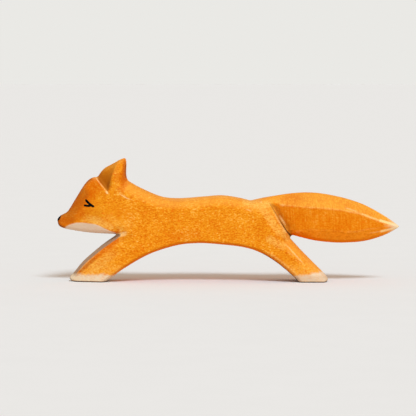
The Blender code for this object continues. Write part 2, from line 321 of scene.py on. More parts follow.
@dataclass(frozen=True)
class StainedWood(Finish):
    """Orange stain on maple, rubbed back on its ridges, with thin white and cream paint over it, and painted
    light and shade.
    """

    # The stain, with painted light and shade on the bevels and the tail. Its tone is mostly near 0.5, and
    # higher where it is paler.
    deep: Colour = srgb(210, 99, 0)
    bright: Colour = srgb(238, 154, 28)
    tones: Span = (-0.55, 1.35)  # the tones that are all deep and all bright
    blotches: Pattern = Pattern((0.10, 0.10, 0.12), detail=3.0, weight=1.5)
    mottle: Pattern = Pattern((0.5, 0.5, 0.9), turn=8.0, detail=3.0, roughness=0.7, weight=1.6)
    grit: Pattern = Pattern((1.15, 1.3, 2.3), turn=-8.0, detail=1.0, roughness=0.6, weight=2.7)
    pores: Pattern = Pattern((0.9, 1.4, 3.4), roughness=0.6, weight=1.7)
    sanding: Pattern = Pattern((2.2, 1.2, 0.14), turn=4.0, roughness=0.6, weight=3.0)
    patches: Pattern = Pattern((0.42, 0.42, 0.8), turn=-6.0, roughness=0.6)
    bevel_side: Span = (0.1, 0.65)  # how far up a bevel looks, from the flat side
    bevel_top: Span = (0.95, 0.85)  # and from the level back
    tail_lines: float = 0.8  # strength of the sanding's lines
    bevel_lines: float = 0.6
    face_depth: Span = (0.0, 10.0)  # where the face is, in front of the ear's cut
    face_height: Span = (22.0, 28.0)
    tail_calm: float = 0.15  # how much weaker its specks are
    face_calm: float = 0.35
    tail_side: Span = (0.35, 0.1)  # how far up the tail's side looks
    tail_belly: Span = (0.12, 0.4)  # how far down its belly looks
    belly_gaps: Span = (0.25, 0.7)  # the mottling that its colour shows through
    ruddy: Coat = Coat(srgb(232, 92, 8), 0.4, gain=-0.25, span=(0.58, 0.74))
    # Deeper orange on the tail's sides: stain taken deeper by the carved wood, and painted shade where they
    # look up least.
    tail_side_stain_and_shade: Coat = Coat(srgb(216, 104, 0), 0.5)
    # Painted light from the floor below: paler orange on the tail's downward faces, broken by the mottling.
    tail_belly_painted_light: Coat = Coat(srgb(246, 140, 24))
    # Paler where the surface looks partly up: bevels sanded thinner, and painted light from above.
    bevel_sanded_and_lit: Coat = Coat(srgb(238, 163, 64), 0.5)
    speck: Coat = Coat(srgb(248, 190, 104), 0.7, gain=-0.5, span=(0.75, 1.7))

    # Second coats, wear, and painted light and shade.
    evenness: Span = (-0.3, 1.3)  # the tones that hold a second coat best and worst
    scuffs: Pattern = Pattern((1.1, 1.1, 1.8), turn=30.0, detail=3.0, roughness=0.65, weight=1.3)
    flushed: Coat = Coat(srgb(210, 92, 0), 0.98, gain=-0.4)
    bleached: Coat = Coat(THIN_STAIN, 0.22, gain=0.9, span=(0.1, 0.95), ragged=0.8)
    # Painted shade: deeper orange where the surface looks down.
    painted_underside_shade: Coat = Coat(srgb(234, 116, 2), 0.9, span=(0.5, 0.85))
    # Darker stain and painted shade in the hollow of the ear.
    ear_cup: Coat = Coat(srgb(168, 92, 14), 0.85)
    # Painted shade in the inner corner where the belly meets the hind leg.
    crease: Coat = Coat(srgb(128, 62, 14), 0.5)
    # Painted highlight on the surfaces that look straight up.
    painted_top_highlight: Coat = Coat(srgb(248, 184, 96), 0.4, span=(0.86, 0.97))
    worn: Coat = Coat(BARE_WOOD, 0.4, gain=0.5)
    rubbed: Coat = Coat(BARE_WOOD, 0.0, gain=1.0, span=(0.15, 1.1), ragged=0.6)
    rubbed_lean: Span = (0.95, 0.75)  # it was rubbed only where it looks up less than this
    brow: Coat = Coat(BARE_WOOD, 0.3, gain=0.5, span=(0.34, 0.1))
    brow_line: float = 0.28  # how far it lies in front of the ear's cut
    brow_height: Span = (38.0, 47.0)
    brow_least: float = 0.2  # share of it that is left at its lower end

    # Paint, the brown lines round it, and painted shade.
    wander: Pattern = Pattern((0.5, 0.5, 0.5), detail=3.0, weight=0.9)
    brushing: Pattern = Pattern((0.6, 0.8, 1.6), turn=-12.0, detail=3.0, roughness=0.65)
    chin: Coat = Coat(srgb(230, 202, 174), 0.66, gain=0.5, span=(-0.3, 0.35), ragged=0.5)
    # Painted shade: the foreleg's white front painted grey-brown, as it looks in shade.
    bib: Coat = Coat(srgb(160, 134, 112), 0.55, gain=0.7, span=(-0.16, 0.2), ragged=0.3)
    shin_edge: Coat = Coat(BARE_WOOD, 0.0, gain=0.6)
    shin_outside: Span = (-0.55, -0.25)  # where the shin's pale edge begins, outside the bib
    shin_inside: Span = (0.15, -0.1)  # and where it ends, inside it
    shin_height: Span = (15.0, 8.0)
    wash: Coat = Coat(THIN_STAIN, 0.0, gain=0.5, span=(-8.0, -0.5), ragged=4.0)
    wash_gaps: Span = (0.34, 0.66)  # the brushing that it shows through
    paw: Coat = Coat(CREAM_PAINT, 0.3, gain=1.1, span=(-0.9, 0.7), ragged=2.4)
    tip: Coat = Coat(CREAM_PAINT, 0.15, gain=0.5, span=(-2.0, 2.0), ragged=2.0)
    tip_ridge: float = 0.8  # how much more of it the ridges hold
    # Brown brush lines, and painted shade on the brow and snout and along the jaw, the soles and the hind
    # leg's front edge.
    umber: Coat = Coat(srgb(126, 64, 20), 0.45, gain=0.8)
    chin_hides: float = 0.7  # how much of the brown lines and painted shade lies under the chin's paint
    # Painted shade: near-black lines at the toe, along the soles and down the hind leg's front edge.
    soot: Coat = Coat(srgb(44, 26, 18), 0.7, gain=0.4)
    # Painted shade: a dark line in the slit behind the haunch.
    cut: Coat = Coat(srgb(44, 26, 18), 0.4, gain=0.5, span=(0.5, 0.1))
    cut_line: float = 0.15  # how far it lies behind the haunch
    cut_low: Span = (29.0, 24.0)  # the heights between which it darkens
    cut_top: Span = (35.0, 33.5)

    # Gloss and relief.
    gloss: float = 0.02
    roughness: float = 0.58
    mottle_rough: float = 0.25
    paint_rough: float = 0.14
    ridge_smooth: float = 0.08
    relief: float = 0.6
    grain_depth: float = 0.02
    pore_relief: float = 0.5  # heights beside that of the sanding lines
    mottle_relief: float = 0.6

    def stain(self, graph: Graph) -> tuple[Socket, Field, Field, Field]:
        """The stained wood, with painted light on its bevels and under the tail and painted shade on the
        tail's sides, before any wear or paint.

        Args:
            graph: The material's graph.

        Returns:
            The colour, its tone, and the mottling and the fine lines, which the relief follows.
        """
        blotches, mottle, grit = graph.noise(self.blotches), graph.noise(self.mottle), graph.noise(self.grit)
        pores, sanding = graph.noise(self.pores), graph.noise(self.sanding)
        tail, upward = graph.mark(Mark.TAIL), graph.mark(Mark.UPWARD)
        bevel = upward.above(*self.bevel_side) * upward.above(*self.bevel_top)
        lined = tail * self.tail_lines + bevel * self.bevel_lines
        face = graph.mark(Mark.BEFORE_EAR).above(*self.face_depth) * graph.height().above(*self.face_height)
        specks = mottle.swing(self.mottle.weight) + pores.swing(self.pores.weight)
        specks = specks + grit.swing(self.grit.weight)
        tone = specks * (1.0 - tail * self.tail_calm - face * self.face_calm)
        tone = tone + blotches.swing(self.blotches.weight)
        tone = tone + sanding.swing(self.sanding.weight) * lined + 0.5
        colour = graph.blend(tone.above(*self.tones), self.deep, self.bright)
        colour = self.ruddy.over(colour, graph.noise(self.patches), bevel)
        # Painted shade on the tail's sides, and painted light under the tail and on the bevels.
        colour = self.tail_side_stain_and_shade.over(colour, tail * upward.above(*self.tail_side))
        belly = tail * graph.mark(Mark.DOWNWARD).above(*self.tail_belly)
        colour = self.tail_belly_painted_light.over(colour, belly * mottle.above(*self.belly_gaps))
        colour = self.bevel_sanded_and_lit.over(colour, bevel)
        colour = self.speck.over(colour, tone, tail)
        return colour, tone, mottle, sanding * lined + pores * self.pore_relief

    def weathering(self, graph: Graph, colour: Socket, tone: Field) -> Socket:
        """Second coats, wear on the ridges, painted shade in the corners, the ear's hollow and where the
        surface looks down, and a painted highlight on the tops.

        Args:
            graph: The material's graph.
            colour: The stained wood.
            tone: Its tone, which breaks the wear up.

        Returns:
            The colour.
        """
        uneven = tone.above(*self.evenness)
        scuffs = graph.noise(self.scuffs).swing(self.scuffs.weight)
        upward = graph.mark(Mark.UPWARD)
        colour = self.flushed.over(colour, graph.mark(Mark.FLUSHED), uneven)
        colour = self.bleached.over(colour, graph.mark(Mark.BLEACHED), uneven, scuffs)
        # Painted shade where the surface looks down, in the ear's hollow and in the crease; painted highlight
        # on the tops.
        colour = self.painted_underside_shade.over(colour, graph.mark(Mark.DOWNWARD))
        colour = self.ear_cup.over(colour, graph.mark(Mark.EAR_CUP))
        colour = self.crease.over(colour, graph.mark(Mark.CREASE))
        colour = self.painted_top_highlight.over(colour, upward)
        colour = self.worn.over(colour, graph.mark(Mark.RIDGE), uneven)
        colour = self.rubbed.over(colour, graph.mark(Mark.RUBBED), upward.above(*self.rubbed_lean), scuffs)
        faded = graph.height().above(*self.brow_height) * (1.0 - self.brow_least) + self.brow_least
        brow = self.brow.share(graph.line(Mark.BEFORE_EAR, self.brow_line), uneven) * faded
        return graph.blend(brow, colour, self.brow.colour)

    def painted(self, graph: Graph, colour: Socket) -> tuple[Socket, Field]:
        """The thin paint on chin, foreleg, paws and tail tip, with the foreleg's in painted shade, and the
        brown lines and dark lines of painted shade.

        Args:
            graph: The material's graph.
            colour: The wood under the paint.

        Returns:
            The colour, and the share of paint.
        """
        edge = graph.noise(self.wander).swing(self.wander.weight)
        thin = graph.noise(self.brushing)
        height, in_bib, in_paw = graph.height(), graph.mark(Mark.BIB), graph.mark(Mark.PAW)
        colour = self.wash.over(colour, in_paw, thin.above(*self.wash_gaps), edge)
        chin = self.chin.share(graph.mark(Mark.CHIN), thin, edge)
        colour = graph.blend(chin, colour, self.chin.colour)
        shin = in_bib.above(*self.shin_outside) * in_bib.above(*self.shin_inside)
        colour = self.shin_edge.over(colour, shin * height.above(*self.shin_height), thin)
        # The foreleg's white front in painted shade.
        colour = self.bib.over(colour, in_bib, thin, edge)
        paw = self.paw.share(in_paw, thin, edge)
        colour = graph.blend(paw, colour, self.paw.colour)
        held = thin + graph.mark(Mark.RIDGE) * self.tip_ridge
        tip = self.tip.share(graph.mark(Mark.TAIL_TIP), held, edge)
        colour = graph.blend(tip, colour, self.tip.colour)
        # Brown lines and painted shade, partly hidden under the chin's paint.
        umber = graph.mark(Mark.UMBER) * (1.0 - chin * self.chin_hides)
        colour = self.umber.over(colour, umber, thin)
        # Painted shade in the slit behind the haunch.
        cut = self.cut.share(graph.line(Mark.BEHIND_HAUNCH, self.cut_line), height.above(*self.cut_low))
        cut = cut * height.above(*self.cut_top)
        # Painted shade in the cuts, at the toe, along the soles and behind the haunch.
        colour = self.soot.over(colour, graph.math("MAXIMUM", graph.mark(Mark.SOOT), cut), thin)
        return colour, graph.math("MAXIMUM", graph.math("MAXIMUM", chin, paw), tip)

    def sockets(self, graph: Graph) -> Sockets:
        """Works out what the shader is given.

        Args:
            graph: The material's graph.

        Returns:
            The shader's inputs, as Graph.fill takes them.
        """
        colour, tone, mottle, lines = self.stain(graph)
        colour, cover = self.painted(graph, self.weathering(graph, colour, tone))
        rough = mottle.swing(self.mottle_rough) + cover * self.paint_rough + self.roughness
        rough = rough - graph.mark(Mark.RIDGE) * self.ridge_smooth
        relief = graph.bump(lines + mottle * self.mottle_relief, self.relief, self.grain_depth)
        return {"Base Color": colour, "Roughness": rough, "Normal": relief, "Specular IOR Level": self.gloss}


@dataclass(frozen=True)
class BlackPaint(Finish):
    """Black paint laid on with a fine brush, thinner along the hairs' streaks."""

    full: Colour = srgb(5, 3, 3)
    thin: Colour = srgb(26, 14, 8)
    streaks: Pattern = Pattern((2.0, 2.0, 5.0), turn=35.0)
    thin_streaks: Span = (0.5, 0.85)
    gloss: float = 0.05
    roughness: float = 0.3
    streak_rough: float = 0.25
    relief: float = 0.4
    streak_depth: float = 0.01

    def sockets(self, graph: Graph) -> Sockets:
        """Works out what the shader is given.

        Args:
            graph: The material's graph.

        Returns:
            The shader's inputs, as Graph.fill takes them.
        """
        streaks = graph.noise(self.streaks)
        return {
            "Base Color": graph.blend(streaks.above(*self.thin_streaks), self.full, self.thin),
            "Roughness": streaks * self.streak_rough + self.roughness,
            "Normal": graph.bump(streaks, self.relief, self.streak_depth),
            "Specular IOR Level": self.gloss,
        }


@dataclass(frozen=True)
class PalePaper(Finish):
    """The matt paper of the studio floor."""

    tone: Colour = (0.81, 0.805, 0.80, 1.0)
    flecked: Colour = (0.79, 0.785, 0.78, 1.0)
    flecks: Pattern = Pattern((0.05, 0.05, 0.05))

    def sockets(self, graph: Graph) -> Sockets:
        """The shader's inputs, as Graph.fill takes them."""
        colour = graph.blend(graph.noise(self.flecks), self.flecked, self.tone)
        return {"Base Color": colour, "Roughness": 1.0, "Specular IOR Level": 0.0}


def linked(obj: Object) -> Object:
    """Puts an object in the scene and returns it."""
    bpy.context.scene.collection.objects.link(obj)
    return obj


def applied(obj: Object) -> Object:
    """Turns an object's modifiers, or its curve, into a plain smooth mesh.

    Args:
        obj: The object, which a new one of the same name takes the place of.

    Returns:
        The new object, at the origin.
    """
    bpy.context.view_layer.update()
    mesh = bpy.data.meshes.new_from_object(obj.evaluated_get(bpy.context.evaluated_depsgraph_get()))
    name = obj.name
    bpy.data.objects.remove(obj)
    mesh.shade_smooth()
    return linked(bpy.data.objects.new(name, mesh))


def vectors(items: Any, name: str) -> np.ndarray:
    """Reads one vector of each item.

    Args:
        items: What a mesh keeps.
        name: The vector's name.

    Returns:
        One vector to a row.
    """
    values = np.empty(len(items) * 3, np.float32)
    items.foreach_get(name, values)
    return values.reshape(-1, 3).astype(float)


def corners(obj: Object) -> np.ndarray:
    """Every corner of an object's mesh, in millimetres."""
    return vectors(obj.data.vertices, "co") / MM


def corner_normals(obj: Object) -> np.ndarray:
    """The surface's direction at every corner."""
    return vectors(obj.data.vertex_normals, "vector")


def move_corners(obj: Object, co: np.ndarray) -> None:
    """Puts every corner at a new place, given in millimetres."""
    obj.data.vertices.foreach_set("co", (co * MM).astype(np.float32).ravel())
    obj.data.update()


def store(obj: Object, mark: Mark, values: np.ndarray) -> None:
    """Keeps a mark on an object's mesh, where its material reads it."""
    attribute = obj.data.attributes.new(mark.value, "FLOAT", "POINT")
    attribute.data.foreach_set("value", values.astype(np.float32))


def noise_at(places: np.ndarray) -> np.ndarray:
    """Smooth noise at each place, about 0, one cell to a unit."""
    return np.array([noise.noise(Vector(place)) for place in places])


def eased(value: np.ndarray, low: float, high: float) -> np.ndarray:
    """Rises smoothly from 0 at low to 1 at high."""
    share = np.clip((value - low) / (high - low), 0, 1)
    return share * share * (3 - 2 * share)


def smooth_path(path: Path, spacing: float = 0.7) -> np.ndarray:
    """Joins a path's points by a smooth curve.

    Args:
        path: Points (x, z) in millimetres.
        spacing: Distance between the curve's points, about.

    Returns:
        The curve's points, one to a row.
    """
    known = np.array(path, float)
    ends = np.vstack([2 * known[0] - known[1], known, 2 * known[-1] - known[-2]])
    found = []
    for a, b, c, d in zip(ends, ends[1:], ends[2:], ends[3:]):
        steps = max(1, round(float(np.linalg.norm(c - b)) / spacing))
        bend, twist = 2 * a - 5 * b + 4 * c - d, 3 * b - a - 3 * c + d
        found += [b + 0.5 * ((c - a) * t + bend * t**2 + twist * t**3) for t in np.arange(steps) / steps]
    return np.array([*found, known[-1]])


def beside(points: np.ndarray, path: Path) -> np.ndarray:
    """How far each point lies to the left of a path, seen along it.

    Args:
        points: Points (x, z) in millimetres.
        path: The path, which is first made smooth.

    Returns:
        Distances in millimetres, negative to the right.
    """
    line = smooth_path(path)
    least = np.full(len(points), np.inf)
    side = np.ones(len(points))
    for start, end in zip(line[:-1], line[1:]):
        along = end - start
        offset = points - start
        share = np.clip(offset @ along / (along @ along), 0, 1)
        distance = np.linalg.norm(offset - share[:, None] * along, axis=1)
        nearer = distance < least
        least = np.where(nearer, distance, least)
        side = np.where(nearer, np.sign(along[0] * offset[:, 1] - along[1] * offset[:, 0]), side)
    return least * side


@dataclass(frozen=True)
class Zone:
    """A part of the fox, seen from the side, that fades in and out along X and Z."""

    x: tuple[Span, ...] = ()
    z: tuple[Span, ...] = ()

    def share(self, points: np.ndarray) -> np.ndarray:
        """How far each point is inside it.

        Args:
            points: Points (x, z) in millimetres.

        Returns:
            A share for each point.
        """
        share = np.ones(len(points))
        for values, spans in zip(points.T, (self.x, self.z)):
            for span in spans:
                share = share * eased(values, *span)
        return share


@dataclass(frozen=True)
class Stroke:
    """One mark of brush, knife or sandpaper across the wood, or a mark of painted light or shade."""

    path: Path
    width: float
    strength: float = 1.0
    tapered: bool = False  # fades out towards both ends
    core: float = 0.3  # share of its width, and of a tapered one's half length, within which it is full
    overrun: float = 0.5  # how far past its ends a tapered one fades out, in widths

    def share(self, points: np.ndarray) -> np.ndarray:
        """How strong the mark is at each point.

        Args:
            points: Points (x, z) in millimetres.

        Returns:
            A share for each point.
        """
        share = self.strength * eased(np.abs(beside(points, self.path)), self.width, self.core * self.width)
        if self.tapered:
            start, end = np.array(self.path[0]), np.array(self.path[-1])
            from_middle = np.linalg.norm(points - (start + end) / 2, axis=1)
            half = float(np.linalg.norm(end - start)) / 2
            share = share * eased(from_middle, half + self.overrun * self.width, self.core * half)
        return share


@dataclass
class Brushwork:
    """Where the brush and the sandpaper went, and where light and shade are painted, seen from the side."""

    chin: Path = ((-72.6, 23.3), (-71.4, 23.9), (-69.9, 24.9), (-66.8, 25.8), (-63.8, 26.0), (-61.2, 25.7))
    chin_back: Path = ((-58.5, 25.5), (-55.9, 24.5), (-53.3, 23.3), (-50.7, 22.2), (-47.0, 20.9))
    chin_end: tuple[float, float] = (-49.4, 19.7)  # its white stays before this X and above this Z
    shin: Path = ((-70.4, 1.0), (-69.0, 2.8), (-63.9, 8.8), (-56.2, 15.4), (-48.5, 20.9))
    bib_width: float = 1.4
    bib_top: tuple[float, float] = (-46.5, 21.0)  # the bib stays before this X and below this Z
    fore_paw: Path = ((-72.0, 3.3), (-66.8, 3.2), (-60.0, 3.3), (-51.6, 3.1), (-48.0, 1.8))
    hind_paw: Path = ((24.0, 2.2), (29.3, 2.8), (33.2, 3.2), (37.2, 3.9), (41.0, 4.6), (46.0, 4.9))
    paw_top: float = 14.0  # nothing above this height counts as near a paw
    tail_tip: float = 71.0  # where its cream begins
    ear_cup: Path = ((-45.4, 56.0), (-48.4, 51.6), (-50.2, 47.9), (-51.9, 41.5), (-52.3, 38.8))
    ear_edges: tuple[Span, Span] = ((-0.1, 0.5), (-0.1, 0.3))  # of its hollow, at the back and at the cut
    ear_pale: float = 0.75  # how much of its hollow's colour is lost towards the tip
    ear_heights: Span = (45.0, 52.5)  # the heights between which it is lost
    stop_cut: Path = ((-57.8, 46.0), (-52.5, 39.4))
    haunch: Path = ((16.4, 37.5), (18.0, 34.2), (21.2, 28.8), (25.2, 22.4), (27.6, 19.6))
    haunch_edge: Span = (0.4, 1.2)
    tail: Zone = Zone(x=((14.0, 17.0),), z=((17.0, 19.5),))
    sanding: tuple[tuple[float, Zone], ...] = (  # what each zone adds to how hard the ridges were sanded
        (0.42, Zone(x=((14.0, 20.0),))),
        (0.4, Zone(x=((44.0, 58.0),))),
        (-0.3, Zone(x=((62.0, 70.0),))),
    )
    belly_spared: float = 0.55
    tail_belly: Zone = Zone(x=((24.0, 30.0), (66.0, 58.0)), z=((28.0, 24.0), (14.0, 16.0)))
    hind_shin: Path = ((9.0, 15.5), (15.0, 12.3), (21.0, 8.5), (28.1, 2.5), (30.6, 0.0))
    shin_spared: float = 0.9
    shin_reach: Span = (2.2, 1.0)
    flushed: tuple[Stroke, ...] = (
        Stroke(((-59.5, 44.0), (-64.0, 38.5), (-67.5, 32.0)), 7.5, 0.85),
        Stroke(((-73.0, 26.6), (-69.5, 27.6), (-65.0, 30.5)), 4.0, 0.9),
        Stroke(((-66.4, 3.4), (-62.4, 7.4), (-54.8, 13.7), (-48.6, 18.4)), 1.6, 0.95),
        Stroke(((-45.0, 53.0), (-45.3, 47.5), (-45.8, 42.5), (-46.6, 40.0)), 1.9, 0.65),
        Stroke(((20.5, 31.5), (22.5, 28.0), (24.5, 24.5)), 3.0, 0.1, True),
        Stroke(((31.0, 21.2), (36.0, 19.8)), 1.6, 0.6),
        Stroke(((22.5, 35.4), (32.0, 36.6)), 3.6, 0.42, True),
        Stroke(((52.0, 33.5), (64.0, 28.5)), 2.0, 0.25),
        Stroke(((-24.0, 20.2), (-14.0, 21.4)), 3.2, 0.45),
        Stroke(((-47.5, 30.5), (-43.0, 28.5)), 3.6, 0.25),
    )
    bleached: tuple[Stroke, ...] = (
        Stroke(((-66.0, 27.0), (-62.0, 27.6), (-56.0, 26.4), (-49.0, 23.2)), 3.2, 0.6, True),
        Stroke(((-52.5, 21.5), (-47.5, 21.4)), 1.7, 0.8),
        Stroke(((-57.5, 26.4), (-51.5, 24.4)), 2.4, 0.75),
        Stroke(((22.0, 22.8), (26.0, 19.2)), 2.4, 0.7),
        Stroke(((-63.5, 3.2), (-56.5, 8.0), (-51.0, 12.2), (-46.5, 15.5)), 3.4, 0.5, True),
        Stroke(((-52.0, 27.5), (-48.0, 25.0), (-44.0, 25.0)), 4.0, 0.35),
        Stroke(((7.5, 35.0), (12.5, 33.8), (17.0, 34.0)), 2.4, 0.9),
        Stroke(((13.5, 34.0), (17.5, 28.5), (22.0, 22.0)), 2.8, 0.62),
        Stroke(((18.0, 19.0), (23.5, 16.0)), 2.8, 0.65),
        Stroke(((-48.8, 49.5), (-48.6, 44.0), (-47.6, 39.0)), 2.6, 0.3),
    )
    rubbed: tuple[Stroke, ...] = (
        Stroke(((-57.0, 46.6), (-54.6, 49.6), (-50.0, 52.3), (-46.4, 54.3)), 0.6, 0.4),
        Stroke(((-49.0, 40.2), (-46.4, 38.0), (-43.0, 36.4), (-40.2, 35.8)), 0.45, 0.7, True),
        Stroke(((-47.0, 39.2), (-44.0, 36.9)), 0.4, 0.5, True),
        # Painted glint at the foot of the ear's cut.
        Stroke(((-53.2, 39.7), (-52.7, 39.0)), 0.7, 0.9),
        Stroke(((-50.4, 20.2), (-47.0, 20.9), (-43.4, 21.9)), 1.6, 0.75, True),
        Stroke(((11.0, 35.9), (14.2, 35.2)), 0.9, 0.6),
        Stroke(((21.6, 30.2), (25.6, 23.6)), 0.8, 0.55, True),
        Stroke(((6.5, 32.6), (10.5, 31.0)), 0.6, 0.5, True),
        Stroke(((22.4, 19.3), (26.7, 14.8), (33.2, 7.7), (35.4, 5.6)), 0.6, 0.6, True),
        Stroke(((49.0, 33.0), (54.0, 31.6), (59.0, 29.8)), 0.7, 0.5, True),
        Stroke(((55.0, 31.2), (63.0, 28.0), (70.0, 25.4)), 0.7, 0.6, True),
        Stroke(((66.5, 26.8), (74.6, 24.2)), 0.9, 0.9),
        Stroke(((60.0, 21.0), (70.0, 22.6)), 0.6, 0.45, True),
        Stroke(((67.0, 22.0), (74.0, 23.6)), 0.9, 0.8),
    )
    # Brown brush lines, and painted shade: the brow and snout darker, and dark lines along the jaw, the soles
    # and the hind leg's front edge.
    umber: tuple[Stroke, ...] = (
        Stroke(((-46.4, 19.4), (-42.5, 20.8)), 2.0, 0.12),
        Stroke(((-52.8, 40.2), (-51.3, 44.8)), 1.6, 0.45, True),
        Stroke(((-60.4, 45.3), (-63.2, 42.8), (-66.8, 37.0), (-70.4, 30.8), (-73.6, 29.0)), 1.2, 0.6),
        Stroke(((-75.2, 28.4), (-75.0, 26.4), (-74.1, 24.6), (-71.8, 23.4)), 0.9, 0.9),
        Stroke(((-76.0, 27.4), (-69.0, 27.8)), 3.8, 0.34),
        Stroke(((-66.0, 29.4), (-57.0, 29.4)), 4.0, 0.12),
        Stroke(((-70.5, 29.5), (-66.4, 33.4), (-63.2, 38.6)), 3.6, 0.42),
        Stroke(((-71.8, 23.2), (-68.6, 22.4), (-60.0, 21.3), (-52.0, 21.0)), 0.5, 0.4),
        Stroke(((-66.8, 3.0), (-63.4, 6.0), (-58.8, 10.0)), 1.1, 0.3),
        Stroke(((28.0, 1.2), (43.0, 1.4)), 2.6, 0.22),
        Stroke(((-44.6, 53.5), (-45.1, 48.4), (-44.8, 45.6)), 0.45, 0.6),
        Stroke(((-44.9, 53.0), (-45.2, 46.5), (-45.7, 42.0)), 1.5, 0.05),
        Stroke(((-68.4, 4.6), (-69.4, 3.2), (-70.0, 1.4), (-68.8, 0.0)), 0.85, 0.8),
        Stroke(((-69.0, 0.0), (-53.0, 0.0)), 0.7, 0.9),
        Stroke(((29.0, 0.0), (43.6, 0.0)), 0.7, 0.9),
        Stroke(((30.6, 0.0), (28.1, 2.5), (21.0, 8.5), (15.0, 12.3)), 0.7, 1.0),
    )
    # Painted shade: dark lines at the toe, along the soles and down the hind leg's front edge.
    soot: tuple[Stroke, ...] = (
        Stroke(((-68.2, 5.0), (-69.4, 3.2), (-70.2, 1.4), (-69.0, -0.2)), 0.6, 0.6),
        Stroke(((-69.0, 0.0), (-53.0, 0.0)), 0.55, 0.9),
        Stroke(((29.0, 0.0), (43.6, 0.0)), 0.55, 0.9),
        Stroke(((30.8, -0.2), (28.1, 2.3), (22.0, 7.4)), 0.5, 0.5),
    )

    def marks(self, points: np.ndarray) -> dict[Mark, np.ndarray]:
        """Works out every mark that follows a path.

        Args:
            points: Points (x, z) in millimetres.

        Returns:
            A number for each point, by mark.
        """
        x, z = points.T
        in_chin = -beside(points, self.chin + self.chin_back)
        in_bib = self.bib_width + beside(points, self.shin)
        in_paw = -np.where(x < 0, beside(points, self.fore_paw), beside(points, self.hind_paw))
        behind_cut, behind_haunch = beside(points, self.stop_cut), beside(points, self.haunch)
        rear, front = self.ear_edges
        cup = eased(-beside(points, self.ear_cup), *rear) * eased(behind_cut, *front)
        marks = {
            Mark.CHIN: np.min([in_chin, self.chin_end[0] - x, z - self.chin_end[1]], axis=0),
            Mark.BIB: np.min([in_bib, self.bib_top[0] - x, self.bib_top[1] - z], axis=0),
            Mark.PAW: np.where(z < self.paw_top, in_paw, -self.paw_top),
            Mark.TAIL_TIP: x - self.tail_tip,
            Mark.EAR_CUP: cup * (1 - self.ear_pale * eased(z, *self.ear_heights)),
            Mark.TAIL: eased(behind_haunch, *self.haunch_edge) * self.tail.share(points),
            Mark.BEHIND_HAUNCH: behind_haunch,
            Mark.BEFORE_EAR: -behind_cut,
        }
        brushed = (Mark.FLUSHED, Mark.BLEACHED, Mark.RUBBED, Mark.UMBER, Mark.SOOT)
        for mark, strokes in zip(brushed, (self.flushed, self.bleached, self.rubbed, self.umber, self.soot)):
            marks[mark] = np.max([stroke.share(points) for stroke in strokes], axis=0)
        return marks

    def sanded(self, points: np.ndarray) -> np.ndarray:
        """How hard the sandpaper went over the ridges.

        Args:
            points: Points (x, z) in millimetres.

        Returns:
            A share for each point.
        """
        hard = sum(added * zone.share(points) for added, zone in self.sanding)
        on_belly = self.tail_belly.share(points)
        on_shin = eased(np.abs(beside(points, self.hind_shin)), *self.shin_reach)
        return hard * (1 - self.belly_spared * on_belly) * (1 - self.shin_spared * on_shin)


